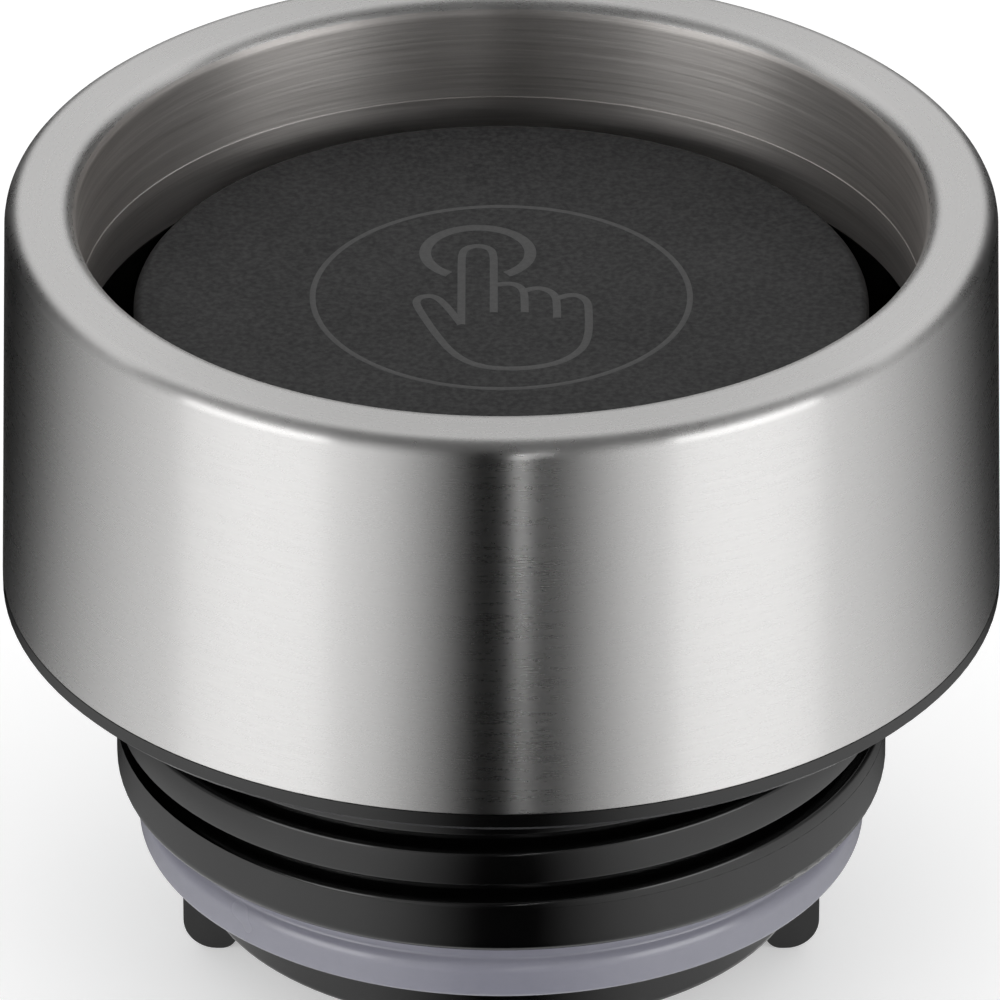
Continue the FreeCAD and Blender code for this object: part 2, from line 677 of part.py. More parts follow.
def button_carrier():
    """Plunger with a broad flange, a locating rim for the spring and a flat for the latch."""
    body = new_body("button_carrier")
    locator = plus(SPRING_OUTSIDE, "locator_wall")
    locator_bottom = minus(CARRIER_UNDER, "locator_height")
    turned(body, "Revolution", [
        ("carrier_bore", WEB_TOP),
        ("carrier_bore", CARRIER_TOP),
        (CARRIER_RADIUS, CARRIER_TOP),
        (CARRIER_RADIUS, CARRIER_UNDER),
        (plus(locator, "locator_wall"), CARRIER_UNDER),
        (plus(locator, "locator_wall"), locator_bottom),
        (locator, locator_bottom),
        (locator, CARRIER_UNDER),
        (PLUNGER_RADIUS, CARRIER_UNDER),
        (PLUNGER_RADIUS, CARRIER_BOTTOM),
        (plus("screw_radius", "fit_gap"), CARRIER_BOTTOM),
        (plus("screw_radius", "fit_gap"), WEB_TOP),
    ])
    flat = new_sketch(body, "XZ_Plane", "flat_offset")
    flat_bottom = plus(CARRIER_BOTTOM, "flat_start")
    flat_top = plus(CAM_TOP, "press_travel", "flat_spare")
    outline(flat, box_corners(minus("0", "barrel_inside"), flat_bottom, "barrel_inside", flat_top))
    extruded(body, "Pocket", flat, "barrel_inside", backwards=True)
    pivot = new_sketch(body, "XZ_Plane", "flat_offset")
    circle(pivot, "0", PIVOT_LEVEL, plus("pivot_radius", "seal_gap"))
    extruded(body, "Pocket", pivot, "pivot_depth")
    return body


def latch_follower():
    """Flat arm with a pivot at its upper end and the track pin at its lower end."""
    body = new_body("latch_follower")
    arm = new_sketch(body, "XZ_Plane", ARM_BACK)
    half = "arm_width / 2"
    rounding = minus(half, "seal_gap")
    outline(arm, [
        (minus("0", half), minus(PIN_LEVEL, half), rounding),
        (half, minus(PIN_LEVEL, half), rounding),
        (half, plus(PIVOT_LEVEL, half), rounding),
        (minus("0", half), plus(PIVOT_LEVEL, half), rounding),
    ])
    extruded(body, "Pad", arm, "arm_thick")
    pivot = new_sketch(body, "XZ_Plane", ARM_BACK)
    circle(pivot, "0", PIVOT_LEVEL, "pivot_radius")
    extruded(body, "Pad", pivot, plus("arm_gap", "pivot_depth - seal_gap"), backwards=True)
    pin = new_sketch(body, "XZ_Plane", ARM_FRONT)
    circle(pin, "0", PIN_LEVEL, "pin_radius")
    extruded(body, "Pad", pin, "track_depth")
    return body


def valve_stem():
    """Rod from the carrier to the plate, tapped at the top, with a bolt end through the plate."""
    tapped = plus("screw_radius", "seal_gap")
    tap_bottom = minus(WEB_TOP, "screw_length", "fit_gap")
    return turned_piece("valve_stem", [
        ("0", plus("nut_sink", "fit_gap")),
        ("plate_bolt_radius", plus("nut_sink", "fit_gap")),
        ("plate_bolt_radius", PLATE_TOP),
        ("stem_radius", PLATE_TOP),
        ("stem_radius", CARRIER_BOTTOM),
        (tapped, CARRIER_BOTTOM),
        (tapped, tap_bottom),
        ("0", tap_bottom),
    ])


def stem_screw():
    head_top = plus(WEB_TOP, "screw_head_height")
    return turned_piece("stem_screw", [
        ("0", minus(WEB_TOP, "screw_length")),
        ("screw_radius", minus(WEB_TOP, "screw_length")),
        ("screw_radius", WEB_TOP),
        ("screw_head_radius", WEB_TOP),
        ("screw_head_radius", head_top, "screw_head_height / 2"),
        ("0", head_top),
    ])


def valve_plate():
    """Dished plate with a flat foot, recessed underneath for its nut."""
    bolt_hole = plus("plate_bolt_radius", "seal_gap")
    recess_top = plus("nut_sink", "nut_height")
    recess = plus("nut_radius", "4 * fit_gap")
    return turned_piece("valve_plate", [
        (recess, "0"),
        (PLATE_FOOT_RADIUS, "0"),
        (PLATE_RADIUS, minus(PLATE_TOP, "plate_rim")),
        (PLATE_RADIUS, PLATE_TOP),
        (bolt_hole, PLATE_TOP),
        (bolt_hole, recess_top),
        (recess, recess_top),
    ])


def valve_gasket():
    """Silicone ring on the plate, its rim pressed up under the seat."""
    return turned_piece("valve_gasket", [
        (GASKET_INSIDE, PLATE_TOP),
        (GASKET_RADIUS, PLATE_TOP),
        (GASKET_RADIUS, GASKET_TOP, "gasket_edge"),
        (GASKET_INSIDE, GASKET_TOP, "gasket_edge"),
    ])


def plate_nut():
    """Six-sided nut in the plate's recess."""
    body = new_body("plate_nut")
    hexagon = new_sketch(body, "XY_Plane", "nut_sink")
    corners = []
    for corner in range(6):
        across = round(math.cos(corner * math.pi / 3), 6)
        along = round(math.sin(corner * math.pi / 3), 6)
        corners.append((f"{across} * nut_radius", f"{along} * nut_radius" if along else "0"))
    outline(hexagon, corners)
    circle(hexagon, "0", "0", plus("plate_bolt_radius", "seal_gap"))
    extruded(body, "Pad", hexagon, "nut_height")
    return body


pieces = [
    steel_collar(),
    well_liner(),
    neck_body(),
    round_ring("liner_seal", LINER_RING_RADIUS, "liner_ring_wire", minus(FLANGE_TOP, "liner_ring_wire")),
    neck_seal(),
    valve_cage(),
    round_ring(
        "cage_seal", plus(RING_GROOVE_ROOT, "seal_gap", "cage_ring_wire"), "cage_ring_wire",
        minus(RING_GROOVE_TOP, "seal_gap", "cage_ring_wire")),
    spring_washer(),
    return_spring(),
    round_ring(
        "stem_seal", plus(STEM_BORE, "stem_ring_wire"), "stem_ring_wire",
        plus(BARREL_BOTTOM, "retainer_thick", "seal_gap", "stem_ring_wire")),
    seal_retainer(),
    latch_cam(),
    button_cap(),
    button_carrier(),
    valve_stem(),
    stem_screw(),
    valve_plate(),
    valve_gasket(),
    plate_nut(),
    latch_follower(),
]

doc.recompute()

for item in doc.Objects:
    if "Invalid" in item.State or "Error" in item.State:
        raise RuntimeError(f"{item.Label} failed: {item.State} {item.getStatusString()}")
for piece in pieces:
    shape = piece.Shape
    if shape.isNull() or not shape.isValid() or len(shape.Solids) != 1:
        raise RuntimeError(f"{piece.Label} has no single valid solid")

os.makedirs("parts", exist_ok=True)
for piece in pieces:
    piece.Shape.exportStep(f"parts/{piece.Label}.step")
    print(f"{piece.Label}: {piece.Shape.Volume:.1f} mm3")
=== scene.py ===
import math

import bpy
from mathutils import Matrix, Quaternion, Vector


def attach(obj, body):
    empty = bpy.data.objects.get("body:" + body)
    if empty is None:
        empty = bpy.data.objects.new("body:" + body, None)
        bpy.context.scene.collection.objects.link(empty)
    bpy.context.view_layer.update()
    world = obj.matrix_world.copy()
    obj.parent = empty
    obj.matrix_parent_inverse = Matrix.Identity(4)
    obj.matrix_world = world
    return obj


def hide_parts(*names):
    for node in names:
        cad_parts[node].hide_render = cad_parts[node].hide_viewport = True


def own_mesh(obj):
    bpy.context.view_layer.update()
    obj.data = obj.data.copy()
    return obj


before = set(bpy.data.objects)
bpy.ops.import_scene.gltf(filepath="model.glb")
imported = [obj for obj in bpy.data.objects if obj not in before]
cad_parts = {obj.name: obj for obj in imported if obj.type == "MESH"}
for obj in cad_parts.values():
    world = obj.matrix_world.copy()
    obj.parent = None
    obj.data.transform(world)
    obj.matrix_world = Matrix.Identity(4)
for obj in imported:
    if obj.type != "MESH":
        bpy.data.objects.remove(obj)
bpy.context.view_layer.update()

# Sizes of the object's pieces are in millimetres, those of the stage in metres, angles in degrees
MM = 0.001
RIM_LEVEL = 61.8
BUTTON_LEVEL = 53.9
MERGE_GAP = 0.001
SAME_PLACE = 0.01
EDGE_SEGMENTS = 6
SMOOTH_ANGLE = 38.0


# Working helpers

def deselect():
    if bpy.context.object and bpy.context.object.mode != "OBJECT":
        bpy.ops.object.mode_set(mode="OBJECT")
    bpy.ops.object.select_all(action="DESELECT")


def active(piece):
    deselect()
    piece.select_set(True)
    bpy.context.view_layer.objects.active = piece


def name_piece(piece, name):
    piece.name = name
    piece.data.name = name


def merge_outwards():
    """All of the mesh in edit mode: doubles merged, faces outwards."""
    bpy.ops.mesh.select_all(action="SELECT")
    bpy.ops.mesh.remove_doubles(threshold=MERGE_GAP * MM)
    bpy.ops.mesh.normals_make_consistent(inside=False)


def finish_mesh(piece, angle=SMOOTH_ANGLE):
    """Doubles merged, faces outwards, smooth up to the given edge angle."""
    active(piece)
    bpy.ops.object.mode_set(mode="EDIT")
    merge_outwards()
    bpy.ops.object.mode_set(mode="OBJECT")
    bpy.ops.object.shade_smooth_by_angle(angle=math.radians(angle))


def select_ring(piece, radius, level):
    """Edit mode, with nothing selected but the ring of edges at this radius and level."""
    bpy.ops.object.mode_set(mode="OBJECT")
    mesh = piece.data
    near = SAME_PLACE * MM
    for vertex in mesh.vertices:
        vertex.select = (
            abs(vertex.co.xy.length - radius * MM) < near and abs(vertex.co.z - level * MM) < near)
    for edge in mesh.edges:
        edge.select = all(mesh.vertices[i].select for i in edge.vertices)
    for face in mesh.polygons:
        face.select = False
    bpy.ops.object.mode_set(mode="EDIT")
    bpy.ops.mesh.select_mode(type="EDGE")


def round_edge(piece, radius, level, size):
    """Bevel the ring of edges at this radius and level."""
    select_ring(piece, radius, level)
    bpy.ops.mesh.bevel(
        offset_type="OFFSET", offset=size * MM, segments=EDGE_SEGMENTS, profile=0.5, affect="EDGES",
        clamp_overlap=False)
    bpy.ops.object.mode_set(mode="OBJECT")


def lathe(name, corners, around=256, capped=False):
    """Ring drawn out level by level; a corner is (radius, level) or (radius, level, edge round).

    A capped piece starts and ends with a disc, any other one closes on its first ring."""
    deselect()
    radius, level = corners[0][:2]
    bpy.ops.mesh.primitive_circle_add(vertices=around, radius=radius * MM, fill_type="NOTHING")
    piece = bpy.context.object
    name_piece(piece, name)
    bpy.ops.object.mode_set(mode="EDIT")
    bpy.ops.mesh.select_all(action="SELECT")
    bpy.ops.transform.translate(value=(0, 0, level * MM))
    if capped:
        bpy.ops.mesh.edge_face_add()
        bpy.ops.mesh.poke()
        select_ring(piece, radius, level)
    following = corners[1:] if capped else corners[1:] + corners[:1]
    for next_radius, next_level, *_ in following:
        bpy.ops.mesh.extrude_edges_move(
            TRANSFORM_OT_translate={"value": (0, 0, (next_level - level) * MM)})
        wider = next_radius / radius
        bpy.ops.transform.resize(value=(wider, wider, 1), center_override=(0, 0, next_level * MM))
        radius, level = next_radius, next_level
    if capped:
        bpy.ops.mesh.edge_face_add()
        bpy.ops.mesh.poke()
    merge_outwards()
    for corner in corners:
        if len(corner) == 3:
            round_edge(piece, *corner)
    finish_mesh(piece)
    weighted = piece.modifiers.new("true_flats", "WEIGHTED_NORMAL")
    weighted.keep_sharp = True
    bpy.ops.object.modifier_apply(modifier="true_flats")
    return piece


def wind(piece, degrees, rise, steps):
    """Sweep an outline along a right-hand helix round the axis, and close both ends."""
    screw = piece.modifiers.new("helix", "SCREW")
    screw.axis = "Z"
    screw.angle = math.radians(degrees)
    screw.screw_offset = rise * MM
    screw.steps = steps
    screw.render_steps = steps
    screw.use_merge_vertices = False
    active(piece)
    bpy.ops.object.modifier_apply(modifier="helix")
    bpy.ops.object.mode_set(mode="EDIT")
    bpy.ops.mesh.select_all(action="SELECT")
    bpy.ops.mesh.fill_holes(sides=0)
    bpy.ops.object.mode_set(mode="OBJECT")


# Materials

# Numbers of the Mix node's colour sockets
MIX_LOW, MIX_HIGH, MIX_RESULT = 6, 7, 2
# Values between which most of a noise pattern lies
NOISE_LOW, NOISE_HIGH = 0.3, 0.7
# How far roughness wanders to either side
STEEL_UNEVENNESS = 0.02
MOULD_UNEVENNESS = 0.04
# Width of the cloudy patches in a moulded piece's gloss
GLOSS_PATCH = 9
PLASTIC_IOR = 1.5


def linear(code):
    """sRGB hex code to a linear colour."""
    parts = [int(code[i:i + 2], 16) / 255 for i in (0, 2, 4)]
    return [p / 12.92 if p <= 0.04045 else ((p + 0.055) / 1.055) ** 2.4 for p in parts] + [1.0]


def add_node(tree, kind, settings=None, inputs=None):
    """One node, with its settings, and each input a value or a link."""
    node = tree.nodes.new(kind)
    for name, setting in (settings or {}).items():
        setattr(node, name, setting)
    for name, source in (inputs or {}).items():
        socket = node.inputs[name]
        if isinstance(source, bpy.types.NodeSocket):
            tree.links.new(source, socket)
        else:
            socket.default_value = source
    return node


def new_material(name):
    material = bpy.data.materials.new(name)
    material.use_nodes = True
    material.node_tree.nodes.clear()
    return material, material.node_tree


def brushed_steel(name, tone_low, tone_high, line, dash, depth, roughness, anisotropy):
    """Stainless steel worked round the axis: marks that run round, and blur reflections upright.

    line and dash are the spacing and the length of the marks, depth is their depth."""
    material, tree = new_material(name)
    place = add_node(tree, "ShaderNodeTexCoord").outputs["Object"]
    axes = add_node(tree, "ShaderNodeSeparateXYZ", None, {0: place})
    flat = add_node(tree, "ShaderNodeVectorMath", {"operation": "MULTIPLY"}, {0: place, 1: (1, 1, 0)})
    out = add_node(tree, "ShaderNodeVectorMath", {"operation": "LENGTH"}, {0: flat.outputs[0]})
    along = add_node(
        tree, "ShaderNodeMath", {"operation": "ADD"}, {0: axes.outputs["Z"], 1: out.outputs["Value"]})
    spread = add_node(
        tree, "ShaderNodeCombineXYZ", None,
        {"X": axes.outputs["X"], "Y": axes.outputs["Y"], "Z": along.outputs[0]})
    marks = []
    for length, spacing in ((dash, line), (8 * dash, 2 * line)):
        scaled = add_node(
            tree, "ShaderNodeMapping", None,
            {"Vector": spread.outputs[0],
             "Scale": (1 / (length * MM), 1 / (length * MM), 1 / (spacing * MM))})
        marks.append(add_node(
            tree, "ShaderNodeTexNoise", None,
            {"Vector": scaled.outputs[0], "Scale": 1.0, "Detail": 2.0, "Roughness": 0.6}))
    both = add_node(
        tree, "ShaderNodeMath", {"operation": "ADD"},
        {0: marks[0].outputs[0], 1: marks[1].outputs[0]})
    height = add_node(tree, "ShaderNodeMath", {"operation": "MULTIPLY"}, {0: both.outputs[0], 1: 0.5})
    tone = add_node(
        tree, "ShaderNodeMix", {"data_type": "RGBA"},
        {"Factor": height.outputs[0], MIX_LOW: linear(tone_low), MIX_HIGH: linear(tone_high)})
    grain = add_node(
        tree, "ShaderNodeMapRange", None,
        {"Value": height.outputs[0], "From Min": NOISE_LOW, "From Max": NOISE_HIGH,
         "To Min": roughness - STEEL_UNEVENNESS, "To Max": roughness + STEEL_UNEVENNESS})
    bump = add_node(
        tree, "ShaderNodeBump", None,
        {"Strength": 1.0, "Distance": depth * MM, "Height": height.outputs[0]})
    round_axis = add_node(tree, "ShaderNodeTangent", {"direction_type": "RADIAL", "axis": "Z"})
    shader = add_node(
        tree, "ShaderNodeBsdfPrincipled", None,
        {"Base Color": tone.outputs[MIX_RESULT], "Metallic": 1.0, "Roughness": grain.outputs[0],
         "Anisotropic": anisotropy, "Anisotropic Rotation": 0.25,
         "Tangent": round_axis.outputs[0], "Normal": bump.outputs[0]})
    add_node(tree, "ShaderNodeOutputMaterial", None, {"Surface": shader.outputs[0]})
    return material


def moulded(name, tone, spot, roughness, grain, depth, fleck_range=0.15, sockets=None):
    """Moulded plastic or rubber, or printed ink: grain is the size of its surface texture.

    fleck_range is how far the noise goes from tone to spot, sockets what else the shader is given."""
    material, tree = new_material(name)
    place = add_node(tree, "ShaderNodeTexCoord").outputs["Object"]
    fine = add_node(
        tree, "ShaderNodeTexNoise", None,
        {"Vector": place, "Scale": 1 / (grain * MM), "Detail": 3.0, "Roughness": 0.65})
    broad = add_node(
        tree, "ShaderNodeTexNoise", None,
        {"Vector": place, "Scale": 1 / (GLOSS_PATCH * MM), "Detail": 2.0, "Roughness": 0.5})
    flecks = add_node(
        tree, "ShaderNodeMapRange", None,
        {"Value": fine.outputs[0], "From Min": 0.5 - fleck_range, "From Max": 0.5 + fleck_range})
    mix = add_node(
        tree, "ShaderNodeMix", {"data_type": "RGBA"},
        {"Factor": flecks.outputs[0], MIX_LOW: linear(tone), MIX_HIGH: linear(spot)})
    gloss = add_node(
        tree, "ShaderNodeMapRange", None,
        {"Value": broad.outputs[0], "From Min": NOISE_LOW, "From Max": NOISE_HIGH,
         "To Min": roughness - MOULD_UNEVENNESS, "To Max": roughness + MOULD_UNEVENNESS})
    bump = add_node(
        tree, "ShaderNodeBump", None,
        {"Strength": 1.0, "Distance": depth * MM, "Height": fine.outputs[0]})
    shader = add_node(
        tree, "ShaderNodeBsdfPrincipled", None,
        {"Base Color": mix.outputs[MIX_RESULT], "Roughness": gloss.outputs[0], "IOR": PLASTIC_IOR,
         "Normal": bump.outputs[0], **(sockets or {})})
    add_node(tree, "ShaderNodeOutputMaterial", None, {"Surface": shader.outputs[0]})
    return material


# Stainless steel, brushed round on a belt: soft upright bands of light and fine lines round the skirt,
# drawn coarser than real brushing so that they show
STEEL = brushed_steel(
    "brushed_stainless_steel", "CCCBCA", "DEDDDC",
    line=0.15, dash=0.8, depth=0.0022, roughness=0.28, anisotropy=1.0)
# Stainless steel left from turning the lip: deeper, uneven rings, some dark and some that catch the light
TURNED = brushed_steel(
    "turned_stainless_steel", "B0ABA7", "FFFBF8",
    line=0.25, dash=9.0, depth=0.035, roughness=0.42, anisotropy=0.85)
# Polypropylene from a polished mould: black, half gloss, faintly uneven
BLACK = moulded(
    "glossy_black_polypropylene", "040404", "050505", roughness=0.16, grain=0.5, depth=0.0004,
    sockets={"Specular IOR Level": 0.62})
# ABS with a spark-eroded mould texture: dull dark grey with a dry grain, drawn coarser than real to show
BUTTON = moulded(
    "matt_textured_abs", "1F1F20", "373737", roughness=0.62, grain=0.45, depth=0.02,
    sockets={"Specular IOR Level": 0.28})
# Pad-printed ink on the button: a step lighter and a little smoother than the texture round it
INK = moulded(
    "grey_printing_ink", "444444", "4C4C4C", roughness=0.55, grain=0.3, depth=0.006,
    sockets={"Specular IOR Level": 0.28})
# Translucent silicone, frosted by its mould: cool grey, light bleeds into it
SILICONE = moulded(
    "frosted_silicone", "888894", "8E8E9A", roughness=0.24, grain=1.2, depth=0.0006, fleck_range=0.5,
    sockets={"Specular IOR Level": 1.0, "Subsurface Weight": 0.35,
             "Subsurface Radius": (1.0, 1.0, 1.1), "Subsurface Scale": 1.5 * MM})
# Nitrile rubber rings: soft matt black
RUBBER = moulded("black_nitrile_rubber", "0C0C0C", "141414", roughness=0.6, grain=0.4, depth=0.004)
# Acetal for the small latch pieces: waxy off-white
ACETAL = moulded("white_acetal", "DEDDD6", "E6E5DF", roughness=0.36, grain=0.8, depth=0.001)
# Drawn and turned stainless for spring, rod, screw, washer and nut: bright, with fine marks
BRIGHT = brushed_steel(
    "bright_drawn_stainless", "BDBDBE", "DADADB",
    line=0.18, dash=1.5, depth=0.003, roughness=0.2, anisotropy=0.3)

NODE_FINISH = {
    "well_liner": BLACK, "neck_body": BLACK, "valve_cage": BLACK, "button_carrier": BLACK,
    "valve_plate": BLACK, "liner_seal": RUBBER, "cage_seal": RUBBER, "stem_seal": RUBBER,
    "valve_gasket": SILICONE, "neck_seal": SILICONE, "seal_retainer": ACETAL, "latch_cam": ACETAL,
    "latch_follower": ACETAL, "spring_washer": BRIGHT, "return_spring": BRIGHT, "valve_stem": BRIGHT,
    "stem_screw": BRIGHT, "plate_nut": BRIGHT, "steel_collar": STEEL, "button_cap": BUTTON,
}
for node_name, finish in NODE_FINISH.items():
    node_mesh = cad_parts[node_name].data
    node_mesh.materials.clear()
    node_mesh.materials.append(finish)


def dress(piece, body, materials, replaced=None):
    """Finish and body of a new piece, and the solid that it stands for, which is hidden."""
    piece.data.materials.clear()
    for material in materials:
        piece.data.materials.append(material)
    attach(piece, body)
    if replaced:
        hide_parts(replaced)


# Steel collar: skirt, rim with rolled edges and lip, one sheet with its inner side

SHEET = 0.7
SKIRT_FOOT, SKIRT_FOOT_RADIUS = 31.8, 36.6
RIM_OUTER_RADIUS = 36.0
RIM_INNER_RADIUS = 30.9
LIP_FOOT, LIP_FOOT_RADIUS = 49.6, 30.6
OUTER_ROLL = 1.3
INNER_ROLL = 0.6
TURNED_WITHIN = 31.0
collar = lathe("brushed_collar", [
    (SKIRT_FOOT_RADIUS, SKIRT_FOOT, 0.15),
    (RIM_OUTER_RADIUS, RIM_LEVEL, OUTER_ROLL),
    (RIM_INNER_RADIUS, RIM_LEVEL, OUTER_ROLL),
    # the faint step in the lip
    (30.67, 54.2),
    (30.66, 54.04, 0.02),
    (30.61, 53.99, 0.02),
    (30.61, 53.85),
    (LIP_FOOT_RADIUS, LIP_FOOT, 0.2),
    # the sheet's inner side
    (LIP_FOOT_RADIUS + SHEET, LIP_FOOT),
    (RIM_INNER_RADIUS + SHEET, RIM_LEVEL - SHEET, INNER_ROLL),
    (RIM_OUTER_RADIUS - SHEET, RIM_LEVEL - SHEET, INNER_ROLL),
    (SKIRT_FOOT_RADIUS - SHEET, SKIRT_FOOT),
], around=320)
dress(collar, "shell", [STEEL, TURNED], "steel_collar")
for face in collar.data.polygons:
    inward = face.normal.x * face.center.x + face.normal.y * face.center.y < 0
    face.material_index = 1 if inward and face.center.xy.length < TURNED_WITHIN * MM else 0

# Button cap: hollow below, with a bead that snaps on the carrier

CAP_RADIUS = 26.75
CAP_BORE = 25.1
CAP_BEAD = 24.7
CAP_FOOT = 46.6
cap = lathe("press_button", [
    (CAP_BORE, 52.1),
    (CAP_BORE, 50.4),
    (CAP_BEAD, 50.4),
    (CAP_BEAD, 49.7),
    (CAP_BORE, 49.3),
    (CAP_BORE, CAP_FOOT),
    (CAP_RADIUS, CAP_FOOT, 0.3),
    (CAP_RADIUS, BUTTON_LEVEL, 0.7),
    (20.0, BUTTON_LEVEL),
], capped=True)
dress(cap, "plunger", [BUTTON], "button_cap")

# Neck seal: a round lower lip, a waist and a thin upper lip

SEAL_BORE = 24.25
SEAL_RADIUS = 26.8
SEAL_FOOT, SEAL_TOP = 10.5, 15.1
seal = lathe("neck_sealing_ring", [
    (SEAL_BORE, SEAL_FOOT),
    (SEAL_RADIUS, SEAL_FOOT, 0.45),
    (SEAL_RADIUS, 13.0, 0.5),
    (26.2, 13.6, 0.15),
    (26.6, 14.75),
    (SEAL_RADIUS, 14.85, 0.05),
    (SEAL_RADIUS, SEAL_TOP),
    (SEAL_BORE, SEAL_TOP),
])
dress(seal, "shell", [SILICONE], "neck_seal")

# Thread on the neck: one ridge, drawn along a right-hand helix, lower and narrower towards its ends

THREAD_PITCH = 4.2
THREAD_START = -572.5
THREAD_END = 425.0
THREAD_FRONT_LEVEL = 22.37
THREAD_ROOT, THREAD_CREST = 26.7, 28.385
# Radius and height of the ridge's corners, by their sides in the plane that it starts from
THREAD_CORNERS = {
    (-1, -1): (THREAD_ROOT, -1.85), (1, -1): (THREAD_CREST, -1.45),
    (1, 1): (THREAD_CREST, 1.35), (-1, 1): (THREAD_ROOT, 1.75)}
THREAD_EDGE = 0.3
FRONT_BEARING = 90
TAPER_ANGLE = 40.0
TAPER_HEIGHT = 0.3
STEP_ANGLE = 2.5


def thread_ridge():
    deselect()
    bpy.ops.mesh.primitive_plane_add(size=1.0)
    ridge = bpy.context.object
    name_piece(ridge, "neck_thread_ridge")
    for vertex in ridge.data.vertices:
        side = (round(math.copysign(1, vertex.co.x)), round(math.copysign(1, vertex.co.y)))
        across, up = THREAD_CORNERS[side]
        vertex.co = (across * MM, 0, up * MM)
    bpy.ops.object.mode_set(mode="EDIT")
    bpy.ops.mesh.select_all(action="SELECT")
    bpy.ops.mesh.bevel(offset=THREAD_EDGE * MM, segments=3, affect="VERTICES")
    bpy.ops.object.mode_set(mode="OBJECT")
    outline = len(ridge.data.vertices)
    turn = THREAD_END - THREAD_START
    wind(ridge, turn, THREAD_PITCH * turn / 360, round(turn / STEP_ANGLE))
    start_level = THREAD_FRONT_LEVEL + THREAD_PITCH * (THREAD_START + FRONT_BEARING) / 360
    for vertex in ridge.data.vertices:
        wound = vertex.index // outline * STEP_ANGLE
        ease = min(1.0, wound / TAPER_ANGLE, max(0.0, turn - wound) / TAPER_ANGLE)
        radius = vertex.co.xy.length
        kept = (THREAD_ROOT + (radius / MM - THREAD_ROOT) * ease) * MM / radius
        rise = THREAD_PITCH * wound / 360 * MM
        height = (vertex.co.z - rise) * (TAPER_HEIGHT + (1 - TAPER_HEIGHT) * ease)
        vertex.co = (vertex.co.x * kept, vertex.co.y * kept, start_level * MM + rise + height)
    active(ridge)
    ridge.rotation_euler = (0, 0, math.radians(THREAD_START))
    bpy.ops.object.transform_apply(location=False, rotation=True, scale=False)
    finish_mesh(ridge)
    return ridge


dress(thread_ridge(), "shell", [BLACK])

# Return spring: one wire between the washer and the carrier, drawn at one length, though the real one is
# shorter when the button is down

SPRING_FOOT = 29.5
SPRING_LENGTH = 21.0
SPRING_WIRE = 1.1
SPRING_RADIUS = 11.0
SPRING_TURNS = 6
WIRE_SIDES = 14
STEPS_PER_TURN = 48
deselect()
bpy.ops.mesh.primitive_circle_add(
    vertices=WIRE_SIDES, radius=SPRING_WIRE / 2 * MM, rotation=(math.pi / 2, 0, 0))
spring = bpy.context.object
name_piece(spring, "coiled_return_spring")
spring.location = (SPRING_RADIUS * MM, 0, (SPRING_FOOT + SPRING_WIRE / 2) * MM)
bpy.ops.object.transform_apply(location=True, rotation=True, scale=True)
wind(spring, 360 * SPRING_TURNS, SPRING_LENGTH - SPRING_WIRE, STEPS_PER_TURN * SPRING_TURNS)
finish_mesh(spring)
dress(spring, "cage", [BRIGHT], "return_spring")
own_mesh(spring)

# Sign on the button: a pressing hand in a circle, printed a hair proud of the cap

PRINT_RISE = 0.025
PRINT_SMOOTH_ANGLE = 60.0
HAND_LINE = 0.58
HAND_STROKES = [
    # forefinger, from its root on the left over the tip to the right
    [(-2.9, -4.2), (-2.9, -1.0), (-2.9, 3.5), (-2.9, 6.4), (-2.6, 7.35), (-1.73, 7.75), (-0.85, 7.35),
     (-0.55, 6.4), (-0.55, 3.5), (-0.55, 0.6), (-0.55, -2.4)],
    # thumb, heel of the hand and outer edge up to the little finger
    [(-2.9, -4.2), (-3.5, -2.6), (-4.3, -0.7), (-5.0, 0.15), (-5.9, -0.05), (-6.25, -0.8), (-5.9, -2.2),
     (-4.9, -5.2), (-3.7, -8.2), (-2.3, -10.0), (-0.4, -10.8), (2.2, -10.7), (4.4, -9.8), (5.9, -7.9),
     (6.35, -5.6), (6.35, -2.6), (6.3, -0.7), (5.6, 0.25), (4.7, 0.2), (4.05, -0.3)],
    # two folded fingers
    [(-0.45, 1.75), (0.4, 2.05), (1.2, 1.75), (1.65, 0.9), (1.7, -0.6), (1.7, -2.4)],
    [(1.75, 0.9), (2.4, 1.35), (3.3, 1.1), (3.95, 0.2), (4.05, -1.4), (4.05, -3.2)],
]
# Centre across and along, radius, line width, first and last angle
TOUCH_RING = (-1.72, 6.6, 3.85, 0.86, -57.0, 237.0)
SIGN_CIRCLE = (0.0, 0.0, 13.75, 0.42, 0.0, 360.0)
ARC_POINTS = 48


def arc_stroke(across, along, radius, width, start, stop):
    closed = stop - start >= 360
    steps = ARC_POINTS if closed else ARC_POINTS - 1
    angles = [math.radians(start + (stop - start) * i / steps) for i in range(ARC_POINTS)]
    points = [(across + radius * math.cos(a), along + radius * math.sin(a)) for a in angles]
    return print_stroke(width, points, closed)


def print_stroke(width, points, closed=False):
    """One printed line: a smooth curve with a round section, made a mesh and pressed flat."""
    deselect()
    bpy.ops.curve.primitive_nurbs_path_add()
    curve = bpy.context.object.data
    curve.splines.clear()
    spline = curve.splines.new("NURBS")
    spline.points.add(len(points) - 1)
    for spot, (across, along) in zip(spline.points, points):
        spot.co = (across * MM, along * MM, 0, 1)
    spline.use_cyclic_u = closed
    spline.order_u = 3
    spline.use_endpoint_u = not closed
    spline.resolution_u = 6
    curve.bevel_depth = width / 2 * MM
    curve.bevel_resolution = 2
    curve.use_fill_caps = True
    bpy.ops.object.convert(target="MESH")
    flat = 2 * PRINT_RISE / width
    line = bpy.context.object
    for vertex in line.data.vertices:
        vertex.co.z = BUTTON_LEVEL * MM + vertex.co.z * flat
    return line


